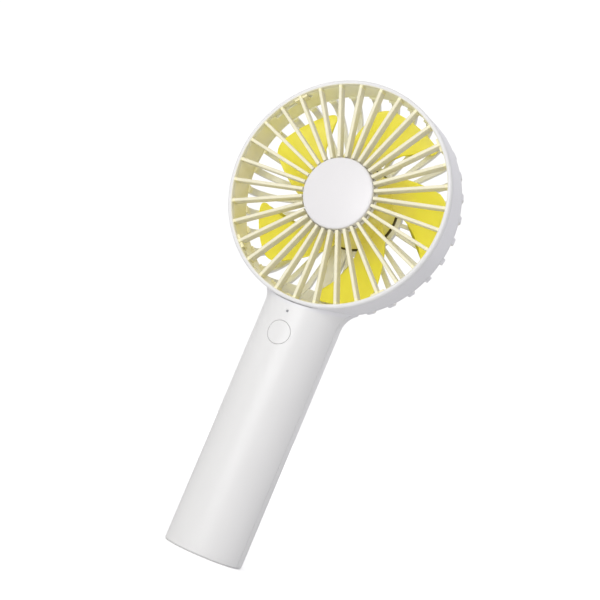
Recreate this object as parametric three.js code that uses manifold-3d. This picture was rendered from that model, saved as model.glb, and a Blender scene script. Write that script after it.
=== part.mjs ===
// A handheld electric fan: a round caged head on a straight battery handle.
// Millimetres. The origin is the centre of the flat base, +Z runs up the handle, and air leaves the head along -Y.
import * as THREE from "three";
import { mergeVertices } from "three/addons/utils/BufferGeometryUtils.js";
import Module from "manifold-3d";

// ---- Driving dimensions -------------------------------------------------------------------------------------

const HEAD_RADIUS = 49; // outside of the head
const HEAD_Z = 160; // height of the fan's axis
const FRONT_Y = -17.9; // front plane of the head; "depth" below is measured backwards from it
const WALL = 1.8; // wall of the two housings
const GAP = 0.3; // clearance between separate pieces
const SEAM = 0.2; // hairline between pieces that meet on the outside

const HANDLE_HALF_WIDTH = 17.2;
const HANDLE_HALF_DEPTH = 17.8;
const NECK_FILLET = 10; // radius of the concave corner between handle and head
const BASE_EDGE = 0.8; // rounding of the handle's lower edge
const SHOULDER = { low: 103, high: 122.5, halfDepth: 5 }; // the handle's back rounds over towards the head
const PARTING_Y = -1.7; // plane where the front and rear housings meet

const RIBS = 32; // spokes of the front and of the rear cage
const FRONT_RIB = { width: 1.4, front: 0.5, back: 5.4 };
const RIM_DEPTH = 2.6; // rim of the twist-off front grille
const CAP_RADIUS = 15.5;
const CAP_DEPTH = 4;
const BAYONET_TABS = 4;
const BAYONET_TURN = 12; // degrees from locked to released

const REAR_RING_DEPTH = 17.6; // where the solid wall ends and the rear spokes begin
const REAR_CORNER = 12; // radius of the rounded rear edge
const REAR_CORNER_DEPTH = 18.5;
const REAR_SPOKE = { outer: 3, inner: 1.6, thick: 2.4 };
const REAR_HUB_RADIUS = 20.5;
const REAR_HUB_DEPTH = 31.4;
const LEAD_SPOKE_WIDTH = 7;
const LEAD_TROUGH_WIDTH = 3.6;

const BLADES = 5;
const BLADE_TIP_RADIUS = 43.1;
const HUB = { front: 6.6, inner: 8.9, back: 26.5, frontRadius: 16.2, backRadius: 17, bore: 15.4 };
const BLADE_PHASE = -1; // degrees from +X to the first blade, anticlockwise from the front

const SHAFT_RADIUS = 1;
const BEARING_RADIUS = 3;
const MOTOR_PLATE = { radius: 13.4, front: 24.2, back: 25.3 };
const PLATFORM_DEPTH = 25.6; // face of the rear hub that carries the motor
const STATOR = { front: 12.6, back: 20.4, tooth: 12.5, core: 7, bore: 4.7 };
const COILS = 6;

const BUTTON_RADIUS = 5;
const BUTTON_Z = 97.2;
const LAMP_Z = 106.6;

const BOARD = { halfWidth: 7.6, low: 84.5, high: 109.3, front: -8.6, back: -7.4 };
const CELL = { radius: 9.2, low: 17.2, high: 82.2, y: 1 };
const SOCKET = { width: 9, height: 3.2, z: 89, front: 9.4, back: 16.4 };
const UPPER_SCREW = { x: 11, z: 104 };
const LOWER_SCREW = { x: 8, z: 10.4 };

// ---- Solids -------------------------------------------------------------------------------------------------

const wasm = await Module();
wasm.setup();

// A closed geometry as a solid whose faces point outwards.
function solid(geometry) {
  const bare = new THREE.BufferGeometry();
  bare.setAttribute("position", geometry.getAttribute("position"));
  bare.setIndex(geometry.index);
  const merged = mergeVertices(bare, 1e-4);
  const triVerts = new Uint32Array(merged.index.array);
  const vertProperties = merged.attributes.position.array;
  const made = new wasm.Manifold(new wasm.Mesh({ numProp: 3, vertProperties, triVerts }));
  if (made.volume() > 0) return made;
  for (let i = 0; i < triVerts.length; i += 3) {
    [triVerts[i + 1], triVerts[i + 2]] = [triVerts[i + 2], triVerts[i + 1]];
  }
  return new wasm.Manifold(new wasm.Mesh({ numProp: 3, vertProperties, triVerts }));
}

const join = (first, ...rest) => rest.reduce((sum, piece) => sum.add(piece), first);
const cut = (first, ...tools) => tools.reduce((left, tool) => left.subtract(tool), first);
const common = (first, ...rest) => rest.reduce((left, piece) => left.intersect(piece), first);

function geometryOf(made) {
  const { vertProperties, triVerts, numProp } = made.getMesh();
  const position = new Float32Array((vertProperties.length / numProp) * 3);
  for (let i = 0; i < position.length / 3; i++) {
    position.set(vertProperties.subarray(i * numProp, i * numProp + 3), i * 3);
  }
  const geometry = new THREE.BufferGeometry();
  geometry.setAttribute("position", new THREE.BufferAttribute(position, 3));
  geometry.setIndex(new THREE.BufferAttribute(new Uint32Array(triVerts), 1));
  geometry.computeVertexNormals();
  return geometry;
}

function box([x0, x1], [y0, y1], [z0, z1]) {
  const geometry = new THREE.BoxGeometry(x1 - x0, y1 - y0, z1 - z0);
  geometry.translate((x0 + x1) / 2, (y0 + y1) / 2, (z0 + z1) / 2);
  return solid(geometry);
}

// A cylinder along Y, or a cone frustum where the two radii differ.
function pinY(radius, y0, y1, x = 0, z = 0, sides = 32, radius1 = radius) {
  const geometry = new THREE.CylinderGeometry(radius1, radius, y1 - y0, sides);
  geometry.translate(x, (y0 + y1) / 2, z);
  return solid(geometry);
}

function pinZ(radius, z0, z1, x = 0, y = 0, sides = 32) {
  const geometry = new THREE.CylinderGeometry(radius, radius, z1 - z0, sides);
  geometry.rotateX(Math.PI / 2);
  geometry.translate(x, y, (z0 + z1) / 2);
  return solid(geometry);
}

// A solid of revolution about the fan's axis. The closed profile is a list of [radius, depth].
function turned(profile, sides = 48) {
  const points = [...profile, profile[0]].map(([r, depth]) => new THREE.Vector2(r, depth));
  const geometry = new THREE.LatheGeometry(points, sides);
  geometry.translate(0, FRONT_Y, HEAD_Z);
  return solid(geometry);
}

// An outline in the plane of the head ([x, height above the axis]) carried from one depth to another.
function slab(shape, depth0, depth1, curveSegments = 3) {
  const geometry = new THREE.ExtrudeGeometry(shape, {
    depth: depth1 - depth0,
    bevelEnabled: false,
    curveSegments,
  });
  geometry.rotateX(Math.PI / 2);
  geometry.translate(0, FRONT_Y + depth1, HEAD_Z);
  return solid(geometry);
}

// A flat bar that stands radially at 0 degrees: an outline of [radius, depth] points, given a width.
function radialBar(outline, width, widthAt = () => width) {
  const shape = new THREE.Shape(outline.map(([r, depth]) => new THREE.Vector2(r, depth)));
  const geometry = new THREE.ExtrudeGeometry(shape, { depth: 1, bevelEnabled: false });
  geometry.translate(0, 0, -0.5);
  const position = geometry.getAttribute("position");
  for (let i = 0; i < position.count; i++) {
    position.setZ(i, position.getZ(i) * widthAt(position.getX(i)));
  }
  geometry.translate(0, FRONT_Y, HEAD_Z);
  return solid(geometry);
}

const ribTurns = Array.from({ length: RIBS }, (_, i) => (360 / RIBS) * i);

// Part of a ring about the fan's axis, from one radius, depth and angle to another.
function ringSector(r0, r1, depth0, depth1, middle, halfAngle) {
  const a0 = THREE.MathUtils.degToRad(middle - halfAngle);
  const a1 = THREE.MathUtils.degToRad(middle + halfAngle);
  const shape = new THREE.Shape();
  shape.absarc(0, 0, r1, a0, a1, false);
  shape.absarc(0, 0, r0, a1, a0, true);
  return slab(shape, depth0, depth1);
}

// The same piece turned about the fan's axis, anticlockwise as seen from the front.
function aboutAxis(made, degrees) {
  return made.translate([0, 0, -HEAD_Z]).rotate([0, -degrees, 0]).translate([0, 0, HEAD_Z]);
}

// A solid skinned over rings of points that all have the same number of points.
function loft(rings) {
  const count = rings[0].length;
  const position = rings.flat().flatMap((p) => [p.x, p.y, p.z]);
  const index = [];
  for (let i = 0; i + 1 < rings.length; i++) {
    for (let j = 0; j < count; j++) {
      const a = i * count + j;
      const b = i * count + ((j + 1) % count);
      index.push(a, b, b + count, a, b + count, a + count);
    }
  }
  for (let j = 1; j + 1 < count; j++) {
    const top = (rings.length - 1) * count;
    index.push(0, j + 1, j, top, top + j, top + j + 1);
  }
  const geometry = new THREE.BufferGeometry();
  geometry.setAttribute("position", new THREE.Float32BufferAttribute(position, 3));
  geometry.setIndex(index);
  return solid(geometry);
}

// A round wire along a smooth curve through the points.
function wire(radius, points, steps) {
  const curve = new THREE.CatmullRomCurve3(points.map((p) => new THREE.Vector3(...p)));
  const section = new THREE.Shape().absarc(0, 0, radius, 0, 2 * Math.PI, false);
  const options = { steps, extrudePath: curve, bevelEnabled: false, curveSegments: 4 };
  return solid(new THREE.ExtrudeGeometry(section, options));
}

// ---- The handle's outline -----------------------------------------------------------------------------------

const filletZ =
  HEAD_Z -
  Math.sqrt((HEAD_RADIUS + NECK_FILLET) ** 2 - (HANDLE_HALF_WIDTH + NECK_FILLET) ** 2);
const neckTopZ = HEAD_Z - (HEAD_Z - filletZ) * (HEAD_RADIUS / (HEAD_RADIUS + NECK_FILLET));

function handleRing(z, inset, sides = 44) {
  const rise = Math.min(Math.max(z - filletZ, 0), neckTopZ - filletZ);
  const flare = NECK_FILLET - Math.sqrt(NECK_FILLET ** 2 - rise ** 2);
  const halfWidth = HANDLE_HALF_WIDTH + flare - inset;
  const halfDepth = HANDLE_HALF_DEPTH - inset;
  const over = Math.min(Math.max((z - SHOULDER.low) / (SHOULDER.high - SHOULDER.low), 0), 1);
  const shoulder = (HANDLE_HALF_DEPTH - SHOULDER.halfDepth) * (1 - Math.sqrt(1 - over ** 2));
  return Array.from({ length: sides }, (_, i) => {
    const angle = (2 * Math.PI * i) / sides;
    const depth = Math.sin(angle) > 0 ? halfDepth - shoulder : halfDepth;
    return new THREE.Vector3(halfWidth * Math.cos(angle), depth * Math.sin(angle), z);
  });
}

const neckHeights = [SHOULDER.low, filletZ, 110.6, 113.2, neckTopZ, 119, 121];

function handleSolid() {
  const edge = [0, 0.5, 1].map((t) => {
    const turn = (t * Math.PI) / 2;
    return handleRing(BASE_EDGE * (1 - Math.cos(turn)), BASE_EDGE * (1 - Math.sin(turn)));
  });
  return loft([...edge, ...[...neckHeights, SHOULDER.high].map((z) => handleRing(z, 0))]);
}

// The handle's outline moved inwards, open past both ends.
function handleCore(inset) {
  return loft([handleRing(-1, inset), ...neckHeights.map((z) => handleRing(z, inset))]);
}

// ---- The head's envelope ------------------------------------------------------------------------------------

// The head's side and rounded rear edge, from the front plane to the rear hub, moved inwards by the inset.
function headProfile(inset, steps = 4) {
  const cornerRadius = HEAD_RADIUS - REAR_CORNER;
  const radius = REAR_CORNER - inset;
  const corner = Array.from({ length: steps + 1 }, (_, i) => {
    const turn = ((i / steps) * 87 * Math.PI) / 180;
    return [cornerRadius + radius * Math.cos(turn), REAR_CORNER_DEPTH + radius * Math.sin(turn)];
  });
  return [...corner, [REAR_HUB_RADIUS - 1, REAR_HUB_DEPTH - 0.25 - inset]];
}

function headEnvelope(inset, front) {
  const back = REAR_HUB_DEPTH - 0.25 - inset;
  return turned([[0, front], [HEAD_RADIUS - inset, front], ...headProfile(inset), [0, back]]);
}

// One rear spoke, which wraps from the ring over the rounded edge to the hub. Its width narrows inwards.
function rearSpoke(thick, outerWidth, innerWidth, inset = 0) {
  const outside = headProfile(inset);
  const inside = headProfile(inset + thick, 3).reverse();
  const startDepth = REAR_RING_DEPTH - 0.5;
  const outline = [
    [HEAD_RADIUS - inset - 0.4, startDepth],
    ...outside,
    ...inside,
    [HEAD_RADIUS - inset - 1.4, startDepth],
  ];
  return radialBar(outline, outerWidth, (r) => {
    const share = (r - REAR_HUB_RADIUS) / (HEAD_RADIUS - REAR_HUB_RADIUS);
    return innerWidth + (outerWidth - innerWidth) * Math.max(share, 0);
  });
}

// ---- Housings -----------------------------------------------------------------------------------------------

const farFront = box([-60, 60], [-60, PARTING_Y - SEAM / 2], [-10, 230]);
const farRear = box([-60, 60], [PARTING_Y + SEAM / 2, 60], [-10, 230]);
const handle = handleSolid();
const handleSpace = cut(handleCore(WALL), headEnvelope(-0.4, -5)); // the neck closes under the head
const inWalls = handleCore(WALL / 2);
const headSpace = headEnvelope(WALL, -5);
const leadHole = box([-LEAD_TROUGH_WIDTH / 2, LEAD_TROUGH_WIDTH / 2], [4, 8.8], [104, 117.5]);

const screwPlaces = [-1, 1].flatMap((side) => [
  [side * UPPER_SCREW.x, UPPER_SCREW.z],
  [side * LOWER_SCREW.x, LOWER_SCREW.z],
]);
const boardScrewPlaces = [-1, 1].map((side) => [side * 5.2, 87]);
const SCREW = { radius: 0.9, post: 2.7, head: 1.9, seatY: 5.4, tipY: -8.5, headHeight: 1.5 };

function frontHousing() {
  const wall = turned([
    [HEAD_RADIUS - 4, RIM_DEPTH + SEAM],
    [HEAD_RADIUS, RIM_DEPTH + SEAM],
    [HEAD_RADIUS, REAR_RING_DEPTH],
    [HEAD_RADIUS - 4, REAR_RING_DEPTH],
  ]);
  const rimRoom = turned([
    [0, -6],
    [HEAD_RADIUS + GAP, -6],
    [HEAD_RADIUS + GAP, RIM_DEPTH + SEAM],
    [0, RIM_DEPTH + SEAM],
  ]);
  const shell = cut(join(cut(handle, handleSpace, rimRoom), wall), headSpace);
  const posts = screwPlaces.map(([x, z]) => pinY(SCREW.post, -15, PARTING_Y, x, z, 16));
  const boardPosts = boardScrewPlaces.map(([x, z]) => pinY(1.9, -16, BOARD.front - GAP, x, z, 12));
  const pilots = screwPlaces.map(([x, z]) => pinY(SCREW.radius + 0.1, SCREW.tipY - 1, 0, x, z, 12));
  const boardPilots = boardScrewPlaces.map(([x, z]) => pinY(0.9, -14.2, BOARD.front, x, z, 12));
  const inHandle = [...posts, ...boardPosts].map((post) => common(post, inWalls));
  const buttonHole = pinY(BUTTON_RADIUS + GAP, -25, -8, 0, BUTTON_Z, 40);
  const lampHole = pinY(0.7, -25, -12, 0, LAMP_Z, 16);
  const made = cut(join(shell, ...inHandle), ...pilots, ...boardPilots, buttonHole, lampHole);
  return cut(common(made, farFront), ...bayonetSlots());
}

// Slots that let the grille's tabs in and hold them once it is turned.
function bayonetSlots() {
  const deep = HEAD_RADIUS - WALL / 2;
  const tools = [];
  for (let i = 0; i < BAYONET_TABS; i++) {
    const middle = 45 + (360 / BAYONET_TABS) * i;
    tools.push(ringSector(HEAD_RADIUS - 4, deep, 4.2, 6.6, middle + BAYONET_TURN / 2, 5 + BAYONET_TURN / 2));
    tools.push(ringSector(HEAD_RADIUS - 4, deep, 2, 6.6, middle + BAYONET_TURN, 5));
  }
  return tools;
}

function rearHousing() {
  const ring = turned([
    [HEAD_RADIUS - 4, 15],
    [HEAD_RADIUS, 15],
    [HEAD_RADIUS, REAR_RING_DEPTH],
    [HEAD_RADIUS - 4, REAR_RING_DEPTH],
  ]);
  const hub = turned([
    [0, PLATFORM_DEPTH],
    [12.4, PLATFORM_DEPTH],
    [12.4, REAR_HUB_DEPTH - 3.2],
    [REAR_HUB_RADIUS, REAR_HUB_DEPTH - 3.2],
    [REAR_HUB_RADIUS, REAR_HUB_DEPTH - 0.5],
    [REAR_HUB_RADIUS - 0.6, REAR_HUB_DEPTH],
    [10, REAR_HUB_DEPTH + 0.5],
    [0, REAR_HUB_DEPTH + 0.6],
  ]);
  const spoke = rearSpoke(REAR_SPOKE.thick, REAR_SPOKE.outer, REAR_SPOKE.inner);
  const spokes = ribTurns.filter((turn) => turn !== 270).map((turn) => aboutAxis(spoke, turn));
  const leadSpoke = aboutAxis(rearSpoke(3.2, LEAD_SPOKE_WIDTH, LEAD_SPOKE_WIDTH), 270);
  const trough = aboutAxis(rearSpoke(4, LEAD_TROUGH_WIDTH, LEAD_TROUGH_WIDTH, 1.2), 270);
  const hubTrough = box(
    [-LEAD_TROUGH_WIDTH / 2, LEAD_TROUGH_WIDTH / 2],
    [FRONT_Y + PLATFORM_DEPTH - 1, FRONT_Y + REAR_HUB_DEPTH - 1.2],
    [HEAD_Z - REAR_HUB_RADIUS - 1, HEAD_Z - 9],
  );
  // A thin lid hides the leads from the front, between the rotor's edge and the neck.
  const spokeLid = aboutAxis(rearSpoke(0.45, LEAD_TROUGH_WIDTH + 0.6, LEAD_TROUGH_WIDTH + 0.6, 2.95), 270);
  const hubLid = box(
    [-LEAD_TROUGH_WIDTH / 2 - 0.3, LEAD_TROUGH_WIDTH / 2 + 0.3],
    [9.9, 10.4],
    [HEAD_Z - REAR_HUB_RADIUS, HEAD_Z - 15],
  );
  const motorPilots = motorScrewPlaces().map(([x, z]) => pinY(0.75, 5, 12, x, z, 12));
  const cage = join(hub, ...spokes, leadSpoke);

  const wells = screwPlaces.map(([x, z]) => pinY(SCREW.post, PARTING_Y, 16, x, z, 16));
  const boardShelf = box([-8, 8], [9, 16.5], [84.2, 85.6]);
  const inside = [...wells, boardShelf].map((piece) => common(piece, inWalls));
  const bores = screwPlaces.flatMap(([x, z]) => [
    pinY(SCREW.radius + GAP, -5, 20, x, z, 12),
    pinY(SCREW.head + GAP, SCREW.seatY, 20, x, z, 16),
  ]);
  const shell = join(cut(join(cut(handle, handleSpace), ring), headSpace), ...inside);
  const socketHole = capsuleY(SOCKET.width / 2 + 0.35, SOCKET.height / 2 + 0.35, 8, 20, SOCKET.z);
  const channels = [trough, hubTrough, leadHole, ...motorPilots];
  const hollow = cut(join(shell, cage), ...bores, ...channels, socketHole);
  return common(join(hollow, spokeLid, hubLid), farRear);
}

// A flat-sided oval that runs along Y, centred on the handle's middle plane.
function capsuleY(halfWidth, halfHeight, y0, y1, z) {
  const straight = halfWidth - halfHeight;
  const ends = [-straight, straight].map((x) => pinY(halfHeight, y0, y1, x, z, 20));
  return join(...ends, box([-straight, straight], [y0, y1], [z - halfHeight, z + halfHeight]));
}

function bottomCap() {
  const inset = WALL + SEAM;
  const plate = loft([handleRing(0, inset + 0.4), handleRing(0.4, inset), handleRing(2, inset)]);
  const skirt = cut(
    loft([handleRing(1.8, inset), handleRing(5.6, inset)]),
    loft([handleRing(1.9, inset + 1.5), handleRing(7, inset + 1.5)]),
  );
  return join(plate, skirt);
}

// ---- Front grille -------------------------------------------------------------------------------------------

function frontGrille() {
  const inner = HEAD_RADIUS - WALL;
  const middle = HEAD_RADIUS - WALL / 2;
  const rim = turned([
    [inner, RIM_DEPTH],
    [inner, 0.5],
    [middle - 0.4, 0],
    [middle + 0.4, 0],
    [HEAD_RADIUS, 0.7],
    [HEAD_RADIUS, RIM_DEPTH],
  ]);
  const hub = turned([
    [0, CAP_DEPTH + GAP],
    [CAP_RADIUS + 0.8, CAP_DEPTH + GAP],
    [CAP_RADIUS + 0.8, FRONT_RIB.back],
    [0, FRONT_RIB.back],
  ], 32);
  const pegHole = pinY(2.2, FRONT_Y, FRONT_Y + 8, 0, HEAD_Z, 20);
  const rib = radialBar([
    [CAP_RADIUS + GAP, FRONT_RIB.front],
    [inner + 0.4, FRONT_RIB.front],
    [inner + 0.4, RIM_DEPTH - 0.1],
    [inner - GAP, RIM_DEPTH - 0.1],
    [inner - GAP, FRONT_RIB.back],
    [CAP_RADIUS + GAP, FRONT_RIB.back],
  ], FRONT_RIB.width);
  const fins = ribTurns.map((turn) => aboutAxis(rib, turn));
  const tabs = Array.from({ length: BAYONET_TABS }, (_, i) => {
    const angle = 45 + (360 / BAYONET_TABS) * i;
    const arm = ringSector(inner - 1, inner - GAP, 1.6, 6.2, angle, 3.6);
    const root = ringSector(inner - 1, inner + 0.3, 1.6, RIM_DEPTH, angle, 3.6);
    const lug = ringSector(inner - 1, inner + 0.45, 4.7, 6.1, angle, 3.6);
    return join(arm, root, lug);
  });
  return cut(join(rim, hub, ...fins, ...tabs), pegHole);
}

function centreCap() {
  return turned([
    [0, -1.1],
    [6, -0.93],
    [11.5, -0.42],
    [14.4, 0.1],
    [CAP_RADIUS, 1.3],
    [CAP_RADIUS, CAP_DEPTH],
    [1.9, CAP_DEPTH],
    [1.9, FRONT_RIB.back],
    [0, FRONT_RIB.back],
  ], 40);
}

// ---- Impeller and motor -------------------------------------------------------------------------------------

// One blade: a twisted, swept sheet of even thickness with a rounded outer end.
function blade(along = 6, across = 8, thickness = 1.2) {
  const root = HUB.frontRadius + 0.1;
  const reach = BLADE_TIP_RADIUS - root;
  const middle = (u, v) => {
    const length = reach * (1 - 0.12 * Math.abs(v) ** 9);
    const r = root + length * u;
    const share = (r - root) / reach;
    const halfTurn = 23 - 2 * Math.sin(Math.PI * share) - share;
    const turn = BLADE_PHASE + 28 * (1 - share) + 11 * (1 - share) ** 2 + v * halfTurn;
    const depth = 21.2 - 2 * share - v * (2.6 + 1.6 * share) + 1.3 * (1 - v * v) * share;
    const angle = THREE.MathUtils.degToRad(turn);
    return new THREE.Vector3(r * Math.cos(angle), FRONT_Y + depth, r * Math.sin(angle));
  };
  const normal = (u, v) => {
    const step = 1e-3;
    const du = middle(u + step, v).sub(middle(u - step, v));
    const dv = middle(u, v + step).sub(middle(u, v - step));
    return du.cross(dv).normalize();
  };
  const rings = Array.from({ length: across + 1 }, (_, j) => {
    const v = (2 * j) / across - 1;
    const side = (sign) =>
      Array.from({ length: along + 1 }, (_unused, i) => {
        const u = i / along;
        const half = (thickness / 2) * (1 - 0.55 * v ** 8);
        return middle(u, v).addScaledVector(normal(u, v), sign * half);
      });
    return [...side(1), ...side(-1).reverse()];
  });
  return loft(rings).translate([0, 0, HEAD_Z]);
}

function impeller() {
  const hub = turned([
    [0, HUB.front],
    [11, HUB.front + 0.3],
    [15, HUB.front + 1.1],
    [HUB.frontRadius, HUB.front + 2.6],
    [HUB.backRadius, HUB.back],
    [HUB.bore + 0.3, HUB.back],
    [HUB.bore, HUB.inner],
    [1.15, HUB.inner],
    [1.15, HUB.front + 1.2],
    [0, HUB.front + 1.2],
  ], 40);
  const one = blade();
  const blades = Array.from({ length: BLADES }, (_, i) => aboutAxis(one, (360 / BLADES) * i));
  return join(hub, ...blades);
}

function rotorCup() {
  const wall = 0.8;
  const outer = HUB.bore - 0.2;
  return turned([
    [SHAFT_RADIUS + 0.05, HUB.inner + 0.2],
    [outer - 0.8, HUB.inner + 0.2],
    [outer, HUB.inner + 1],
    [outer, 22],
    [outer - wall, 22],
    [outer - wall, HUB.inner + 1.1],
    [SHAFT_RADIUS + 0.05, HUB.inner + 1.1],
  ], 32);
}

const magnetRing = () => turned([[13, 11.4], [14.15, 11.4], [14.15, 21.2], [13, 21.2]], 32);
const motorShaft = () => pinY(SHAFT_RADIUS, FRONT_Y + 8, FRONT_Y + 25, 0, HEAD_Z, 24);

function bearing(depth) {
  const bore = SHAFT_RADIUS + 0.1;
  return turned([
    [bore, depth],
    [BEARING_RADIUS, depth],
    [BEARING_RADIUS, depth + 2.5],
    [bore, depth + 2.5],
  ], 24);
}

// The motor's fixed plate with the tube that holds both bearings.
function motorPlate() {
  const tube = BEARING_RADIUS + 1.3;
  const bore = BEARING_RADIUS + 0.1;
  const plate = turned([
    [bore, 11],
    [tube, 11],
    [tube, MOTOR_PLATE.front],
    [MOTOR_PLATE.radius, MOTOR_PLATE.front],
    [MOTOR_PLATE.radius, MOTOR_PLATE.back],
    [bore, MOTOR_PLATE.back],
  ], 36);
  const holes = motorScrewPlaces().map(([x, z]) => pinY(1.1, 4, 9, x, z, 12));
  return cut(plate, ...holes);
}

function motorScrewPlaces() {
  return [30, 150, 270].map((degrees) => {
    const angle = THREE.MathUtils.degToRad(degrees);
    return [8.6 * Math.cos(angle), HEAD_Z + 8.6 * Math.sin(angle)];
  });
}

// A laminated core with one T-shaped tooth for each coil.
function statorCore() {
  const core = turned([
    [STATOR.bore, STATOR.front],
    [STATOR.core, STATOR.front],
    [STATOR.core, STATOR.back],
    [STATOR.bore, STATOR.back],
  ], 24);
  const teeth = Array.from({ length: COILS }, (_, i) => {
    const angle = (360 / COILS) * i;
    const neck = new THREE.Shape();
    neck.moveTo(STATOR.core - 0.5, -1.3);
    neck.lineTo(STATOR.tooth - 0.6, -1.3);
    neck.lineTo(STATOR.tooth - 0.6, 1.3);
    neck.lineTo(STATOR.core - 0.5, 1.3);
    const stem = aboutAxis(slab(neck, STATOR.front, STATOR.back), angle);
    return join(stem, ringSector(11.4, STATOR.tooth, STATOR.front, STATOR.back, angle, 24));
  });
  return join(core, ...teeth);
}

// One winding: a rounded block round a tooth's stem.
function coil(index) {
  const outer = new THREE.Shape();
  outer.moveTo(7.6, -2.6);
  outer.lineTo(10.5, -3.8);
  outer.lineTo(10.5, 3.8);
  outer.lineTo(7.6, 2.6);
  const block = slab(outer, STATOR.front - 1.1, STATOR.back + 1.1);
  const middle = (STATOR.front + STATOR.back) / 2 + FRONT_Y;
  const room = box([5, 13], [middle - 4.2, middle + 4.2], [HEAD_Z - 1.6, HEAD_Z + 1.6]);
  return aboutAxis(cut(block, room), (360 / COILS) * index);
}

function screwY(radius, headRadius, headHeight, tipY, seatY, x, z) {
  const shank = pinY(radius, tipY, seatY + 0.2, x, z, 12);
  const head = pinY(headRadius, seatY, seatY + headHeight, x, z, 16, headRadius * 0.85);
  const slots = [0, 90].map((turn) => {
    const slot = box([-headRadius * 0.6, headRadius * 0.6], [0, headHeight], [-0.25, 0.25]);
    return slot.rotate([0, turn, 0]).translate([x, seatY + headHeight * 0.55, z]);
  });
  return cut(join(shank, head), ...slots);
}

const housingScrew = ([x, z]) =>
  screwY(SCREW.radius, SCREW.head, SCREW.headHeight, SCREW.tipY, SCREW.seatY + 0.05, x, z);
const boardScrew = ([x, z]) => screwY(0.75, 1.5, 1, -13.8, BOARD.back + 0.1, x, z);

// Screws that hold the motor plate: their heads face the front.
function motorScrew([x, z]) {
  const seat = FRONT_Y + MOTOR_PLATE.front - 0.1;
  const shank = pinY(0.6, seat - 0.2, 11.6, x, z, 12);
  const head = pinY(1.3, seat - 0.9, seat, x, z, 16);
  return join(shank, head);
}

// ---- Controls and power -------------------------------------------------------------------------------------

const switchFace = BOARD.front - 3.4; // front of the switch's body
const plungerFace = switchFace - 0.7;
const plungerGap = 0.25;

function powerButton() {
  const face = pinY(BUTTON_RADIUS, -25, -14.9, 0, BUTTON_Z, 40);
  const flange = pinY(BUTTON_RADIUS + 0.9, -13.9, -13.3, 0, BUTTON_Z, 32);
  const neck = pinY(BUTTON_RADIUS - 0.5, -15, -13.8, 0, BUTTON_Z, 32);
  const stem = pinY(1.4, -13.4, plungerFace - plungerGap, 0, BUTTON_Z, 20);
  return join(common(face, handle), neck, flange, stem);
}

function tactSwitch() {
  const body = box([-3, 3], [switchFace, BOARD.front - 0.1], [BUTTON_Z - 3, BUTTON_Z + 3]);
  return cut(body, pinY(1.9, switchFace - 1, BOARD.front - 0.8, 0, BUTTON_Z, 24));
}

const switchPlunger = () => pinY(1.7, plungerFace, BOARD.front - 2.2, 0, BUTTON_Z, 24);
const lightPipe = () => common(pinY(0.5, -20, -12.2, 0, LAMP_Z, 16), handle);
const statusLamp = () => box([-0.8, 0.8], [-11.4, BOARD.front - 0.1], [LAMP_Z - 0.8, LAMP_Z + 0.8]);

function controlBoard() {
  const { halfWidth, front, back, low, high } = BOARD;
  const plate = box([-halfWidth, halfWidth], [front, back], [low, high]);
  const holes = boardScrewPlaces.map(([x, z]) => pinY(1, front - 1, back + 1, x, z, 16));
  return cut(plate, ...holes);
}

const controlChip = () => box([-2.5, 2.5], [BOARD.back + 0.1, BOARD.back + 1.6], [94, 99]);
const chargeBoard = () => box([-7, 7], [2.4, 13.2], [85.9, 86.9]);

function chargingSocket() {
  const halfWidth = SOCKET.width / 2;
  const halfHeight = SOCKET.height / 2;
  const can = capsuleY(halfWidth, halfHeight, SOCKET.front, SOCKET.back, SOCKET.z);
  const mouth = capsuleY(halfWidth - 0.3, halfHeight - 0.3, SOCKET.front + 0.6, SOCKET.back + 1, SOCKET.z);
  const tongue = box([-3.2, 3.2], [SOCKET.front + 0.3, SOCKET.back - 0.8], [SOCKET.z - 0.35, SOCKET.z + 0.35]);
  return join(cut(can, mouth), tongue);
}

function batteryCell() {
  const { radius, low, high, y } = CELL;
  const can = pinZ(radius, low, high - 1.4, 0, y, 40);
  return join(can, pinZ(3, high - 1.5, high, 0, y, 24));
}

// A channel with closed ends that holds the cell against the rear housing.
function batteryCradle() {
  const { radius, low, high, y } = CELL;
  const outside = pinZ(radius + 1.5, low - 1.8, high + 1.6, 0, y, 40);
  const room = pinZ(radius + GAP, low - 0.7, high + 0.6, 0, y, 40);
  const rearOpen = box([-20, 20], [y + 2, 20], [low - 0.7, high + 0.6]);
  const window = box([-5, 5], [-20, y], [low + 12, high - 12]);
  const leadNotch = box([-3.6, 3.6], [y + 5, 20], [0, 120]);
  return cut(outside, room, rearOpen, window, leadNotch);
}

const contactStrip = (z) => box([-2.2, 2.2], [CELL.y - 3, CELL.y + 8.6], [z, z + 0.2]);

const foamPad = () => box([-5, 5], [CELL.y + CELL.radius + 0.3, 14.2], [30, 66]);

const WIRE = 0.55;

// Both motor leads lie in the covered trough of the lowest rear spoke and drop through the neck to the board.
function motorLead(side) {
  const x = side * 0.85;
  return wire(WIRE, [
    [x, 8.3, HEAD_Z - 11.4],
    [x, 9.6, HEAD_Z - 12.4],
    [x, 10.9, HEAD_Z - 14.6],
    [x, 11.1, HEAD_Z - 20],
    [x, 10.7, HEAD_Z - 32],
    [x, 10.25, HEAD_Z - 38],
    [x, 8.3, HEAD_Z - 43.2],
    [x, 6.8, HEAD_Z - 46.4],
    [x, 6.1, HEAD_Z - 49.6],
    [x, 4.4, HEAD_Z - 53.4],
    [x, 0, HEAD_Z - 56],
    [x, -4, HEAD_Z - 56.6],
    [x, -7, HEAD_Z - 56.6],
  ], 26);
}

const cellLeadTop = () =>
  wire(WIRE, [
    [0, 7.4, CELL.high + 0.95],
    [-1.2, 7.2, CELL.high + 2.1],
    [-3.6, 6.8, CELL.high + 2.65],
    [-6.6, 6.2, CELL.high + 2.8],
    [-8.6, 5, CELL.high + 4.4],
    [-8.9, 2, CELL.high + 6.8],
    [-8.2, -3, CELL.high + 8.4],
    [-6.6, -7, CELL.high + 8.4],
  ], 16);

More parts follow.
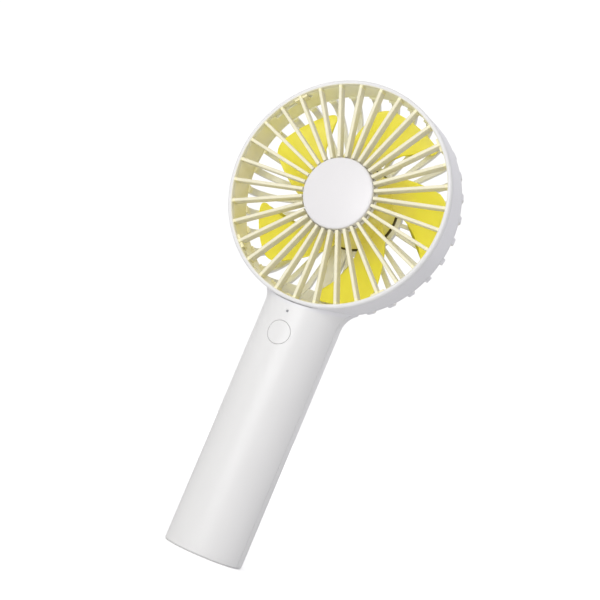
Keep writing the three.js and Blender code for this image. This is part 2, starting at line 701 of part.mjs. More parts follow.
const cellLeadBottom = () =>
  wire(WIRE, [
    [0, 7.4, CELL.low - 1],
    [1.2, 9.6, CELL.low - 1.3],
    [2.6, 11.8, CELL.low + 0.4],
    [5.8, 12.1, CELL.low + 5],
    [6.8, 11.8, CELL.low + 28],
    [6.8, 11.8, CELL.low + 56],
    [8, 11, CELL.high - 3],
    [9.3, 9.4, CELL.high + 1.4],
    [9.6, 5, CELL.high + 6],
    [8.6, -2, CELL.high + 8.4],
    [6.6, -7, CELL.high + 8.4],
  ], 26);

// ---- Materials and scene graph ------------------------------------------------------------------------------

const material = (color, roughness, metalness = 0) =>
  new THREE.MeshStandardMaterial({ color, roughness, metalness });
const shellWhite = () => material(0xe8e8e6, 0.42);
const grilleWhite = () => material(0xf4f1e6, 0.4);
const bladeYellow = () => material(0xe3da3b, 0.38);
const steel = () => material(0xb9bcc0, 0.3, 1);
const copper = () => material(0xb8682f, 0.35, 1);
const darkPlastic = () => material(0x202124, 0.5);
const boardGreen = () => material(0x1f5a38, 0.5);

const fan = new THREE.Group();

function add(name, made, finish, parent = fan) {
  const mesh = new THREE.Mesh(geometryOf(made), finish);
  mesh.name = name;
  parent.add(mesh);
}

const housing = new THREE.Group();
add("front_housing", frontHousing(), shellWhite(), housing);
add("rear_housing", rearHousing(), shellWhite(), housing);
add("bottom_cap", bottomCap(), shellWhite(), housing);
screwPlaces.forEach((place, i) => add(`housing_screw_${i + 1}`, housingScrew(place), steel(), housing));

const frontCover = new THREE.Group();
add("front_grille", frontGrille(), grilleWhite(), frontCover);
add("centre_cap", centreCap(), shellWhite(), frontCover);

const rotor = new THREE.Group();
add("impeller", impeller(), bladeYellow(), rotor);
add("rotor_cup", rotorCup(), steel(), rotor);
add("magnet_ring", magnetRing(), darkPlastic(), rotor);
add("motor_shaft", motorShaft(), steel(), rotor);

const motor = new THREE.Group();
add("motor_plate", motorPlate(), material(0x9a9da1, 0.4, 1), motor);
add("bearing_front", bearing(11.4), steel(), motor);
add("bearing_rear", bearing(21.6), steel(), motor);
add("stator_core", statorCore(), material(0x6d7076, 0.5, 1), motor);
for (let i = 0; i < COILS; i++) add(`coil_${i + 1}`, coil(i), copper(), motor);
motorScrewPlaces().forEach((place, i) => add(`motor_screw_${i + 1}`, motorScrew(place), steel(), motor));
add("motor_lead_red", motorLead(1), material(0xa81f1f, 0.5), motor);
add("motor_lead_black", motorLead(-1), darkPlastic(), motor);

const controls = new THREE.Group();
add("power_button", powerButton(), shellWhite(), controls);
add("tact_switch", tactSwitch(), darkPlastic(), controls);
add("switch_plunger", switchPlunger(), darkPlastic(), controls);
add("light_pipe", lightPipe(), material(0xd9dcdd, 0.15), controls);
add("status_lamp", statusLamp(), material(0xeef2d8, 0.3), controls);
add("control_board", controlBoard(), boardGreen(), controls);
add("control_chip", controlChip(), darkPlastic(), controls);
boardScrewPlaces.forEach((place, i) => add(`board_screw_${i + 1}`, boardScrew(place), steel(), controls));

const power = new THREE.Group();
add("charge_board", chargeBoard(), boardGreen(), power);
add("charging_socket", chargingSocket(), steel(), power);
add("battery_cell", batteryCell(), material(0x3566a8, 0.45), power);
add("battery_cradle", batteryCradle(), darkPlastic(), power);
add("contact_top", contactStrip(CELL.high + 0.1), steel(), power);
add("contact_bottom", contactStrip(CELL.low - 0.3), steel(), power);
add("battery_lead_red", cellLeadTop(), material(0xa81f1f, 0.5), power);
add("battery_lead_black", cellLeadBottom(), darkPlastic(), power);
add("foam_pad", foamPad(), material(0x3b3b3e, 0.9), power);

fan.add(housing, frontCover, rotor, motor, controls, power);

export default fan;
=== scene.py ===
"""A handheld electric fan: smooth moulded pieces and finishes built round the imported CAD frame.

Shapes are written in millimetres, in the frame of the part: the origin is the centre of the flat base, +Z
runs up the handle and air leaves the head along -Y. "Depth" is measured backwards from the front plane of
the head.
"""

import math

import bmesh
import bpy
from mathutils import Matrix, Vector


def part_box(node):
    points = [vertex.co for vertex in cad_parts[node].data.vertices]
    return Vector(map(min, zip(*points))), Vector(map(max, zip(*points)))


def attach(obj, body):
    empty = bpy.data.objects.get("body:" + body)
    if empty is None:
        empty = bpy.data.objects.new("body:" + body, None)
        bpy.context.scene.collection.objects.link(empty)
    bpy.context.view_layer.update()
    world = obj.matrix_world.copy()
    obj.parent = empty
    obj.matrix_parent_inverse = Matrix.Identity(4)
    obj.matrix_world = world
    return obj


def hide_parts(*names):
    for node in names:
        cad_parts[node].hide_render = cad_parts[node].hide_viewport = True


MM = 0.001

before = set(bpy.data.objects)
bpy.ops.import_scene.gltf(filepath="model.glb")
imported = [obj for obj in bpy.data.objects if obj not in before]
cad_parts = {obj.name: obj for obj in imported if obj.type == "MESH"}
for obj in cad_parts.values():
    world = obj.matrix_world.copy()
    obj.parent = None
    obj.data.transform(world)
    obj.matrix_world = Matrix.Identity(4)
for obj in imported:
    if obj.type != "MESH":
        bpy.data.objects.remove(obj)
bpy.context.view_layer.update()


def box_mm(node):
    """Lowest and highest corner of a CAD node in millimetres."""
    low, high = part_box(node)
    return Vector(low) / MM, Vector(high) / MM


# ---- Sizes, from the frame where it holds them ---------------------------------------------------

grille_low, grille_high = box_mm("front_grille")
cap_low, cap_high = box_mm("centre_cap")
plate_high = box_mm("bottom_cap")[1]
button_low, button_high = box_mm("power_button")
socket_low, socket_high = box_mm("charging_socket")
lamp_low, lamp_high = box_mm("light_pipe")
housing_high = box_mm("front_housing")[1]

HEAD_RADIUS = (grille_high.x - grille_low.x) / 2
HEAD_Z = (grille_high.z + grille_low.z) / 2
FRONT_Y = grille_low.y
CAP_RADIUS = (cap_high.x - cap_low.x) / 2
CAP_BACK = 4.3
WALL = 1.8
GAP = 0.3
SEAM = 0.2
HALF_WIDTH = plate_high.x + WALL + SEAM
HALF_DEPTH = plate_high.y + WALL + SEAM
BUTTON_Z = (button_high.z + button_low.z) / 2
BUTTON_RADIUS = 5.0
BUTTON_GAP = 0.1
LAMP_Z = (lamp_high.z + lamp_low.z) / 2
SOCKET_Z = (socket_high.z + socket_low.z) / 2
SOCKET_HALF = ((socket_high.x - socket_low.x) / 2, (socket_high.z - socket_low.z) / 2)
PARTING_Y = housing_high.y + SEAM / 2

NECK_FILLET = 10.0
BASE_EDGE = 0.8
SHOULDER_LOW, SHOULDER_HIGH, SHOULDER_DEPTH = 103.0, 122.5, 5.0
HEAD_SIDES = 256
RIM_DEPTH = 2.6
RIBS = 32
RIB_WIDTH, RIB_FRONT, RIB_BACK = 1.4, 0.5, 5.4
RING_DEPTH = 17.6
CORNER, CORNER_DEPTH, CORNER_TURN = 12.0, 18.5, 87.0
SPOKE_OUTER, SPOKE_INNER, SPOKE_THICK = 3.0, 1.6, 2.4
LEAD_TURN, LEAD_SPOKE_WIDTH, LEAD_SPOKE_THICK = 270, 7.0, 3.2
REAR_HUB_RADIUS, REAR_HUB_DEPTH, REAR_HUB_THICK = 20.5, 31.4, 3.2
PLATFORM_DEPTH = 25.6
BLADES, BLADE_TIP, BLADE_PHASE = 5, 43.1, -1.0
HUB_FRONT, HUB_FRONT_RADIUS = 6.6, 16.2
HUB_BACK, HUB_BACK_RADIUS = 27.3, 17.8
SCREW_PLACES = [(-11, 104), (-8, 10.4), (11, 104), (8, 10.4)]
SCREW_WELL, SCREW_HEAD, SCREW_SEAT_Y = 2.7, 1.9, 5.4
TAB_ANGLES = [45 + 90 * i for i in range(4)]
TAB_HALF_ANGLE, ENTRY_HALF_ANGLE, BAYONET_TURN = 3.6, 5, 12
TAB_FRONT, TAB_BACK = 4.7, 6.1
SLOT_FRONT, SLOT_BACK = 4.2, 6.6
TROUGH_WIDTH, LID_WIDTH, LID_THICK = 3.6, 4.2, 0.45
BUTTON_EDGE = 0.14
LAMP_HOLE = 0.56

RIB_ANGLES = [i * 360 / RIBS for i in range(RIBS)]
fillet_z = HEAD_Z - math.sqrt((HEAD_RADIUS + NECK_FILLET) ** 2 - (HALF_WIDTH + NECK_FILLET) ** 2)
neck_top_z = HEAD_Z - (HEAD_Z - fillet_z) * HEAD_RADIUS / (HEAD_RADIUS + NECK_FILLET)


# ---- Mesh helpers --------------------------------------------------------------------------------

def piece(name, vertices, faces):
    """A mesh object from points in millimetres, with its faces turned outwards."""
    mesh = bpy.data.meshes.new(name)
    mesh.from_pydata([tuple(c * MM for c in v) for v in vertices], [], faces)
    built = bmesh.new()
    built.from_mesh(mesh)
    bmesh.ops.remove_doubles(built, verts=built.verts, dist=1e-7)
    bmesh.ops.recalc_face_normals(built, faces=built.faces)
    built.to_mesh(mesh)
    built.free()
    made = bpy.data.objects.new(name, mesh)
    bpy.context.scene.collection.objects.link(made)
    return made


def merged(name, objects):
    """Separate closed pieces gathered into one mesh."""
    gathered = bmesh.new()
    for part in objects:
        gathered.from_mesh(part.data)
    mesh = bpy.data.meshes.new(name)
    gathered.to_mesh(mesh)
    gathered.free()
    for part in objects:
        bpy.data.objects.remove(part)
    made = bpy.data.objects.new(name, mesh)
    bpy.context.scene.collection.objects.link(made)
    return made


def combine(operation, first, *others):
    """first joined to, cut by or kept inside each of the others, which are used up."""
    for other in others:
        modifier = first.modifiers.new(operation, "BOOLEAN")
        modifier.operation = operation
        modifier.solver = "MANIFOLD"
        modifier.object = other
        graph = bpy.context.evaluated_depsgraph_get()
        mesh = bpy.data.meshes.new_from_object(first.evaluated_get(graph))
        first.modifiers.clear()
        first.data = mesh
        bpy.data.objects.remove(other)
    return first


def join(first, *others):
    return combine("UNION", first, *others)


def cut(first, *tools):
    return combine("DIFFERENCE", first, *tools)


def common(first, *others):
    return combine("INTERSECT", first, *others)


def copied(original, turn=0.0):
    """A copy, turned by so many degrees about the fan's axis, anticlockwise as seen from the front."""
    mesh = original.data.copy()
    centre = Matrix.Translation((0, 0, HEAD_Z * MM))
    mesh.transform(centre @ Matrix.Rotation(math.radians(-turn), 4, "Y") @ centre.inverted())
    made = bpy.data.objects.new(original.name, mesh)
    bpy.context.scene.collection.objects.link(made)
    return made


def turned_copies(name, original, turns):
    copies = [copied(original, turn) for turn in turns]
    bpy.data.objects.remove(original)
    return merged(name, copies)


def rounded(corners, steps=5):
    """An outline whose corners (x, y, radius) are rounded by arcs."""
    outline = []
    count = len(corners)
    for i, (x, y, radius) in enumerate(corners):
        here = Vector((x, y))
        before = Vector(corners[i - 1][:2]) - here
        after = Vector(corners[(i + 1) % count][:2]) - here
        if radius <= 0:
            outline.append((x, y))
            continue
        before.normalize()
        after.normalize()
        half = math.acos(max(-1.0, min(1.0, before.dot(after)))) / 2
        start = here + before * radius / math.tan(half)
        end = here + after * radius / math.tan(half)
        centre = here + (before + after).normalized() * radius / math.sin(half)
        spoke0, spoke1 = start - centre, end - centre
        sweep = spoke0.angle_signed(spoke1)
        for k in range(steps + 1):
            turn = -sweep * k / steps
            spoke = Matrix.Rotation(turn, 2) @ spoke0
            outline.append(tuple(centre + spoke))
    return outline


def lathe(name, profile, sides=192):
    """A solid of revolution about the fan's axis from a closed profile of (radius, depth) points."""
    vertices, rings = [], []
    for r, depth in profile:
        if r < 1e-6:
            rings.append([len(vertices)] * sides)
            vertices.append((0, FRONT_Y + depth, HEAD_Z))
            continue
        rings.append(range(len(vertices), len(vertices) + sides))
        for k in range(sides):
            turn = 2 * math.pi * k / sides
            vertices.append((r * math.cos(turn), FRONT_Y + depth, HEAD_Z + r * math.sin(turn)))
    faces = []
    for i, ring in enumerate(rings):
        following = rings[(i + 1) % len(rings)]
        if ring[0] == ring[1] and following[0] == following[1]:
            continue
        for k in range(sides):
            n = (k + 1) % sides
            corners = [ring[k], ring[n], following[n], following[k]]
            faces.append(list(dict.fromkeys(corners)))
    return piece(name, vertices, faces)


def loft(name, rings):
    """A solid skinned over rings of points that all have the same number of points."""
    count = len(rings[0])
    vertices = [p for ring in rings for p in ring]
    faces = [list(range(count)), list(range(len(vertices) - count, len(vertices)))]
    for i in range(len(rings) - 1):
        for j in range(count):
            n = (j + 1) % count
            faces.append([i * count + j, i * count + n, (i + 1) * count + n, (i + 1) * count + j])
    return piece(name, vertices, faces)


def block(name, x, y, z):
    corners = [(a, b, c) for a in x for b in y for c in z]
    faces = [(0, 1, 3, 2), (4, 6, 7, 5), (0, 4, 5, 1), (2, 3, 7, 6), (0, 2, 6, 4), (1, 5, 7, 3)]
    return piece(name, corners, faces)


def pin(name, profile, x, z, sides=64):
    """A solid of revolution about a line along Y, closed flat at the ends of its (radius, y) points."""
    rings = [
        [
            (x + r * math.cos(2 * math.pi * k / sides), y, z + r * math.sin(2 * math.pi * k / sides))
            for k in range(sides)
        ]
        for r, y in profile
    ]
    return loft(name, rings)


def sector(name, r0, r1, depth0, depth1, middle, half, steps=12):
    """Part of a ring about the fan's axis."""
    angles = [math.radians(middle - half + 2 * half * k / steps) for k in range(steps + 1)]
    rings = []
    for depth in (depth0, depth1):
        ring = [(r1 * math.cos(a), FRONT_Y + depth, HEAD_Z + r1 * math.sin(a)) for a in angles]
        ring += [(r0 * math.cos(a), FRONT_Y + depth, HEAD_Z + r0 * math.sin(a)) for a in reversed(angles)]
        rings.append(ring)
    return loft(name, rings)


def rounded_bar(width, thick, radius, steps=4):
    """The section of a bar: (across, through) points of a rectangle with round corners."""
    a, b = width / 2, thick / 2
    radius = min(radius, 0.98 * a, 0.98 * b)
    return rounded([(-a, -b, radius), (a, -b, radius), (a, b, radius), (-a, b, radius)], steps)


# ---- The handle's and the head's surfaces --------------------------------------------------------

def handle_ring(z, inset=0.0, sides=160):
    """The handle's section: an ellipse that flares into the head and rounds over at the back."""
    rise = min(max(z - fillet_z, 0), neck_top_z - fillet_z)
    flare = NECK_FILLET - math.sqrt(NECK_FILLET**2 - rise**2)
    over = min(max((z - SHOULDER_LOW) / (SHOULDER_HIGH - SHOULDER_LOW), 0), 1)
    shoulder = (HALF_DEPTH - SHOULDER_DEPTH) * (1 - math.sqrt(1 - over**2))
    half_width, half_depth = HALF_WIDTH + flare - inset, HALF_DEPTH - inset
    ring = []
    for k in range(sides):
        turn = 2 * math.pi * k / sides
        depth = half_depth - shoulder if math.sin(turn) > 0 else half_depth
        ring.append((half_width * math.cos(turn), depth * math.sin(turn), z))
    return ring


def heights(low, high, count):
    return [low + (high - low) * k / count for k in range(count + 1)]


def handle_solid(name):
    edge_steps = 6
    rings = []
    for k in range(edge_steps + 1):
        turn = math.pi / 2 * k / edge_steps
        rings.append(handle_ring(BASE_EDGE * (1 - math.cos(turn)), BASE_EDGE * (1 - math.sin(turn))))
    for z in heights(BASE_EDGE, SHOULDER_LOW, 20)[1:] + heights(SHOULDER_LOW, SHOULDER_HIGH, 44)[1:]:
        rings.append(handle_ring(z))
    return loft(name, rings)


def handle_core(name, inset, low=-1.0):
    zs = [low] + heights(5, SHOULDER_LOW, 10) + heights(SHOULDER_LOW, SHOULDER_HIGH - 1.5, 40)[1:]
    return loft(name, [handle_ring(z, inset) for z in zs])


def front_surface_y(x, z):
    """The front of the handle at a point of its face."""
    return -HALF_DEPTH * math.sqrt(max(0.0, 1 - (x / HALF_WIDTH) ** 2))


def on_surface(name, profile, centre_z, sides=96):
    """A round solid whose profile (radius, distance into the handle) follows the handle's front surface."""
    rings = []
    for r, inwards in profile:
        ring = []
        for k in range(sides):
            turn = 2 * math.pi * k / sides
            x, z = r * math.cos(turn), centre_z + r * math.sin(turn)
            ring.append((x, front_surface_y(x, z) + inwards, z))
        rings.append(ring)
    return loft(name, rings)


def head_profile(inset, steps=24):
    """The head's side and its rounded rear edge, moved inwards."""
    points = []
    for k in range(steps + 1):
        turn = math.radians(CORNER_TURN) * k / steps
        r = HEAD_RADIUS - CORNER + (CORNER - inset) * math.cos(turn)
        points.append((r, CORNER_DEPTH + (CORNER - inset) * math.sin(turn)))
    return points + [(REAR_HUB_RADIUS - 1, REAR_HUB_DEPTH - 0.25 - inset)]


def head_envelope(name, inset, front):
    back = REAR_HUB_DEPTH - 0.25 - inset
    profile = [(0, front), (HEAD_RADIUS - inset, front), *head_profile(inset), (0, back)]
    return lathe(name, profile)


def rear_bar(name, width_at, thick, inset=0.0, radius=0.45):
    """A bar that wraps from the rear ring over the rounded edge to the hub, at 0 degrees."""
    path = head_profile(inset)
    start = (HEAD_RADIUS - inset - 0.35, RING_DEPTH - 0.6)
    corner_end, hub_end = Vector(path[-2]), Vector(path[-1])
    flat = [tuple(corner_end.lerp(hub_end, k / 8)) for k in range(1, 9)]
    path = [start, (HEAD_RADIUS - inset - 0.03, RING_DEPTH - 0.05), *path[:-1], *flat]
    rings = []
    for i, (r, depth) in enumerate(path):
        before, after = Vector(path[max(i - 1, 0)]), Vector(path[min(i + 1, len(path) - 1)])
        along = (after - before).normalized()
        if i < 3:
            along = Vector((0, 1))
        inward = Vector((-along.y, along.x))
        width = width_at(r)
        ring = []
        for across, through in rounded_bar(width, thick, radius):
            at = Vector((r, depth)) + inward * (through + thick / 2)
            ring.append((at.x, FRONT_Y + at.y, HEAD_Z + across))
        rings.append(ring)
    return loft(name, rings)


def lead_bar(name, width, thick, inset, radius):
    """A bar of one width in the lowest spoke's place, where the motor's leads run."""
    return turned_copies(name, rear_bar(name, lambda r: width, thick, inset, radius), [LEAD_TURN])


def spoke_width(r):
    share = (r - REAR_HUB_RADIUS) / (HEAD_RADIUS - REAR_HUB_RADIUS)
    return SPOKE_INNER + (SPOKE_OUTER - SPOKE_INNER) * max(share, 0)


# ---- Housings ------------------------------------------------------------------------------------

def half_space(name, front):
    """Everything in front of, or behind, the plane where the two housings meet."""
    if front:
        return block(name, (-60, 60), (-60, PARTING_Y - SEAM / 2), (-10, 230))
    return block(name, (-60, 60), (PARTING_Y + SEAM / 2, 60), (-10, 230))


def capsule(name, half_width, half_height, y0, y1, z, flare=0.0, steps=16):
    """A flat-sided oval along Y. Its far end can flare outwards, as a softened edge does."""
    def ring(grow, y):
        straight = half_width - half_height
        radius = half_height + grow
        points = []
        for side, start in ((1, -90), (-1, 90)):
            for k in range(steps + 1):
                turn = math.radians(start + 180 * k / steps)
                points.append((side * straight + radius * math.cos(turn), y, z + radius * math.sin(turn)))
        return points
    return loft(name, [ring(0, y0), ring(0, y1), ring(flare, y1 + flare), ring(flare, y1 + flare + 3)])


def shell_of_handle(name):
    """The handle's wall, which closes again under the head."""
    space = cut(handle_core("space", WALL), head_envelope("under_head", -0.4, -5))
    return cut(handle_solid(name), space)


def front_shell():
    front, clear = RIM_DEPTH + SEAM, HEAD_RADIUS + GAP
    room = lathe("room", [(0, -6), (clear, -6), (clear, front), (0, front)])
    wall = lathe("wall", rounded([
        (HEAD_RADIUS - 4, front, 0), (HEAD_RADIUS, front, 0.25),
        (HEAD_RADIUS, RING_DEPTH, 0), (HEAD_RADIUS - 4, RING_DEPTH, 0)]), HEAD_SIDES)
    made = join(cut(shell_of_handle("front_shell"), room), wall)
    made = cut(made, head_envelope("inside", WALL, -5))
    posts = [pin("post", [(SCREW_WELL, -15), (SCREW_WELL, PARTING_Y)], x, z, 32) for x, z in SCREW_PLACES]
    made = join(made, common(merged("posts", posts), handle_core("walls", WALL / 2)))
    pilots = [pin("pilot", [(1, -9.5), (1, 0)], x, z, 24) for x, z in SCREW_PLACES]
    edge = BUTTON_RADIUS + BUTTON_GAP
    button_hole = on_surface("button_hole", [
        (edge, 9), (edge, 0.2), (edge + 0.03, 0.07), (edge + 0.12, -0.01), (edge + 0.13, -4)], BUTTON_Z)
    lamp_hole = on_surface("lamp_hole", [
        (LAMP_HOLE, 6), (LAMP_HOLE, 0.1), (LAMP_HOLE + 0.06, 0), (LAMP_HOLE + 0.09, -3)], LAMP_Z, 32)
    made = cut(made, merged("pilots", pilots), button_hole, lamp_hole)
    made = common(made, half_space("front_half", True))
    inner, deep = HEAD_RADIUS - 4, HEAD_RADIUS - WALL / 2
    for angle in TAB_ANGLES:
        middle, half = angle + BAYONET_TURN / 2, ENTRY_HALF_ANGLE + BAYONET_TURN / 2
        slot = sector("slot", inner, deep, SLOT_FRONT, SLOT_BACK, middle, half)
        entry = sector("entry", inner, deep, 2, SLOT_BACK, angle + BAYONET_TURN, ENTRY_HALF_ANGLE)
        made = cut(made, slot, entry)
    return made


def rear_hub(name):
    """The disc that carries the motor on a platform, with a ring groove and a slight dome at the back."""
    face = REAR_HUB_DEPTH - REAR_HUB_THICK
    return lathe(name, rounded([
        (0, PLATFORM_DEPTH, 0), (12.4, PLATFORM_DEPTH, 0.3), (12.4, face, 0.3),
        (REAR_HUB_RADIUS, face, 0.3), (REAR_HUB_RADIUS, REAR_HUB_DEPTH - 0.2, 0.8),
        (16.5, REAR_HUB_DEPTH + 0.1, 0.4), (16.2, REAR_HUB_DEPTH - 0.25, 0.15),
        (15.6, REAR_HUB_DEPTH - 0.25, 0.15), (15.3, REAR_HUB_DEPTH + 0.25, 0.4),
        (8, REAR_HUB_DEPTH + 0.55, 10), (0, REAR_HUB_DEPTH + 0.6, 0)]))


def rear_shell():
    ring = lathe("ring", rounded([
        (HEAD_RADIUS - 4, 15, 0), (HEAD_RADIUS, 15, 0),
        (HEAD_RADIUS, RING_DEPTH, 0.3), (HEAD_RADIUS - 4, RING_DEPTH, 0)]), HEAD_SIDES)
    made = cut(join(shell_of_handle("rear_shell"), ring), head_envelope("inside", WALL, -5))
    wells = [pin("well", [(SCREW_WELL, PARTING_Y), (SCREW_WELL, 17)], x, z, 32) for x, z in SCREW_PLACES]
    made = join(made, common(merged("wells", wells), handle_core("walls", WALL / 2)))

    other_turns = [turn for turn in RIB_ANGLES if turn != LEAD_TURN]
    spokes = turned_copies("spokes", rear_bar("spoke", spoke_width, SPOKE_THICK), other_turns)
    lead_spoke = lead_bar("lead_spoke", LEAD_SPOKE_WIDTH, LEAD_SPOKE_THICK, 0, 0.8)
    made = join(made, join(rear_hub("cage"), spokes, lead_spoke))

    trough = lead_bar("trough", TROUGH_WIDTH, 4, 1.2, 0.3)
    hub_trough = block("hub_trough", (-TROUGH_WIDTH / 2, TROUGH_WIDTH / 2),
                       (FRONT_Y + PLATFORM_DEPTH - 1, FRONT_Y + REAR_HUB_DEPTH - 1.2),
                       (HEAD_Z - REAR_HUB_RADIUS - 1, HEAD_Z - 9))
    lead_hole = block("lead_hole", (-TROUGH_WIDTH / 2, TROUGH_WIDTH / 2), (4, 8.8), (104, 117.5))
    bores = []
    for x, z in SCREW_PLACES:
        bores.append(pin("bore", [(1.2, -5), (1.2, SCREW_SEAT_Y + 0.1)], x, z, 32))
        surface = HALF_DEPTH * math.sqrt(1 - (x / HALF_WIDTH) ** 2)
        head_room = SCREW_HEAD + GAP
        bores.append(pin("head_room", [(head_room, SCREW_SEAT_Y), (head_room, surface - 0.9),
                                       (head_room + 0.9, surface), (head_room + 4, surface + 4)], x, z, 48))
    made = cut(made, trough, hub_trough, lead_hole, *bores)
    spoke_lid = lead_bar("spoke_lid", LID_WIDTH, LID_THICK, 2.95, 0.1)
    hub_lid = block("hub_lid", (-LID_WIDTH / 2, LID_WIDTH / 2), (9.9, 10.4),
                    (HEAD_Z - REAR_HUB_RADIUS, HEAD_Z - 15))
    socket_hole = capsule("socket_hole", SOCKET_HALF[0] + 0.35, SOCKET_HALF[1] + 0.35,
                          8, HALF_DEPTH - 0.75, SOCKET_Z, 0.45)
    made = cut(join(made, spoke_lid, hub_lid), socket_hole)
    return common(made, half_space("rear_half", False))


def base_cap():
    """The plate that closes the handle's lower end, with a soft edge and its skirt."""
    inset = WALL + SEAM
    rings = []
    for k in range(6):
        turn = math.pi / 2 * k / 5
        rings.append(handle_ring(0.45 * (1 - math.cos(turn)), inset + 0.45 * (1 - math.sin(turn))))
    plate = loft("base_cap", [*rings, handle_ring(2, inset)])
    skirt = cut(loft("skirt", [handle_ring(1.8, inset), handle_ring(5.6, inset)]),
                loft("skirt_room", [handle_ring(1.9, inset + 1.5), handle_ring(7, inset + 1.5)]))
    return join(plate, skirt)


def front_grille():
    """The twist-off cover: rim, ribs, hub disc and four bayonet tabs, in one moulding."""
    inner, middle = HEAD_RADIUS - WALL, HEAD_RADIUS - WALL / 2
    rim = lathe("grille", rounded([
        (inner, RIM_DEPTH, 0.1), (inner, 0.35, 0.45), (middle - 0.2, 0, 0.6), (middle + 0.35, 0, 0.7),
        (HEAD_RADIUS, 0.75, 0.6), (HEAD_RADIUS, RIM_DEPTH, 0.15)], 6), HEAD_SIDES)
    hub = lathe("hub", rounded([
        (2.2, CAP_BACK, 0), (CAP_RADIUS + 0.8, CAP_BACK, 0.2),
        (CAP_RADIUS + 0.8, RIB_BACK, 0.3), (2.2, RIB_BACK, 0)]), 96)
    section = rounded_bar(RIB_WIDTH, RIB_BACK - RIB_FRONT, 0.38, 5)
    middle_depth = (RIB_FRONT + RIB_BACK) / 2

    def rib_ring(r, lift):
        middle_y = FRONT_Y + middle_depth
        return [(r, middle_y + min(through, lift), HEAD_Z + across) for across, through in section]

    deep = (RIB_BACK - RIB_FRONT) / 2
    shallow = RIM_DEPTH - 0.1 - middle_depth
    rim_edge = inner - GAP
    stations = [(CAP_RADIUS + GAP, deep), (rim_edge - 0.02, deep),
                (rim_edge, shallow), (inner + 0.4, shallow)]
    rib = loft("rib", [rib_ring(r, lift) for r, lift in stations])
    ribs = turned_copies("ribs", rib, RIB_ANGLES)
    made = join(rim, hub, ribs)
    for angle in TAB_ANGLES:
        arm = sector("arm", inner - 1, inner - GAP, 1.6, TAB_BACK + 0.1, angle, TAB_HALF_ANGLE)
        root = sector("root", inner - 1, inner + 0.3, 1.6, RIM_DEPTH - 0.05, angle, TAB_HALF_ANGLE)
        lug = sector("lug", inner - 1, inner + 0.45, TAB_FRONT, TAB_BACK, angle, TAB_HALF_ANGLE)
        made = join(made, arm, root, lug)
    return made


def centre_cap():
    """The plain domed disc on the grille's hub, with the peg that holds it."""
    dome = [(CAP_RADIUS - 1.1) * math.sin(math.radians(90) * k / 16) for k in range(17)]
    rise = 1.12
    front = [(r, cap_low.y - FRONT_Y + rise * (r / (CAP_RADIUS - 1.1)) ** 2) for r in dome]
    side = rounded([
        (CAP_RADIUS - 1.1, front[-1][1], 0), (CAP_RADIUS - 0.25, front[-1][1] + 0.35, 0.7),
        (CAP_RADIUS, 1.4, 0.5), (CAP_RADIUS, 4, 0.15), (1.9, 4, 0), (1.9, RIB_BACK, 0)])
    return lathe("cap", front[:-1] + side + [(0, RIB_BACK)], 160)


# ---- Impeller ------------------------------------------------------------------------------------

def blade(name, along=26, across=44, thickness=1.2):
    """One blade: a twisted, swept sheet with a rounded outer end and soft edges."""
    root = HUB_FRONT_RADIUS + 0.1
    reach = BLADE_TIP - root

    def middle(u, v):
        r = root + reach * (1 - 0.12 * abs(v) ** 9) * u
        share = (r - root) / reach
        half_turn = 23 - 2 * math.sin(math.pi * share) - share
        turn = math.radians(BLADE_PHASE + 28 * (1 - share) + 11 * (1 - share) ** 2 + v * half_turn)
        depth = 21.2 - 2 * share - v * (2.6 + 1.6 * share) + 1.3 * (1 - v * v) * share
        return Vector((r * math.cos(turn), FRONT_Y + depth, HEAD_Z + r * math.sin(turn)))

    def normal(u, v):
        step = 1e-3
        du = middle(u + step, v) - middle(u - step, v)
        dv = middle(u, v + step) - middle(u, v - step)
        return du.cross(dv).normalized()

    def eased(t):
        """Steps that crowd together towards both edges."""
        return -math.cos(math.pi * t)

    sides = {}
    for sign in (1, -1):
        for j in range(across + 1):
            v = eased(j / across)
            for i in range(along + 1):
                u = math.sin(math.pi / 2 * i / along)
                edge = max(abs(v) ** 10, u**14)
                half = thickness / 2 * math.sqrt(max(0.0, 1 - 0.9 * edge))
                sides[sign, i, j] = middle(u, v) + normal(u, v) * (sign * half)
    rings = []
    for j in range(across + 1):
        front = [sides[1, i, j] for i in range(along + 1)]
        back = [sides[-1, i, j] for i in reversed(range(along + 1))]
        rings.append([tuple(p) for p in front + back])
    return loft(name, rings)


def impeller():
    hub = lathe("blades", rounded([
        (0, HUB_FRONT, 0), (9, HUB_FRONT + 0.1, 12), (14.2, HUB_FRONT + 0.8, 3),
        (HUB_FRONT_RADIUS, HUB_FRONT + 2.6, 1.6), (HUB_BACK_RADIUS, HUB_BACK, 0.25),
        (HUB_BACK_RADIUS - 1.3, HUB_BACK, 0.25), (15.4, 8.9, 0),
        (1.15, 8.9, 0), (1.15, 7.8, 0), (0, 7.8, 0)]), 160)
    blades = turned_copies("blade_set", blade("blade"), [i * 360 / BLADES for i in range(BLADES)])
    return join(hub, blades)


# ---- Controls and fasteners ----------------------------------------------------------------------

def power_button():
    """A round key that continues the handle's surface, with a softened edge, its flange and its stem."""
    flat = BUTTON_RADIUS - BUTTON_EDGE
    face = [(flat * k / 8, 0) for k in range(1, 8)]
    turns = [math.radians(15 * k) for k in range(7)]
    rim = [(flat + BUTTON_EDGE * math.sin(turn), BUTTON_EDGE * (1 - math.cos(turn))) for turn in turns]
    crown = on_surface("button", [(0.02, 0), *face, *rim, (BUTTON_RADIUS, 2.4)], BUTTON_Z)
    back = button_high.y
    neck = pin("neck", [(BUTTON_RADIUS - 0.5, -16), (BUTTON_RADIUS - 0.5, -13.8)], 0, BUTTON_Z)
    flange = pin("flange", [(5.9, -13.9), (5.9, -13.3)], 0, BUTTON_Z)
    stem = pin("stem", [(1.4, -13.4), (1.4, back)], 0, BUTTON_Z, 32)
    return join(crown, neck, flange, stem)


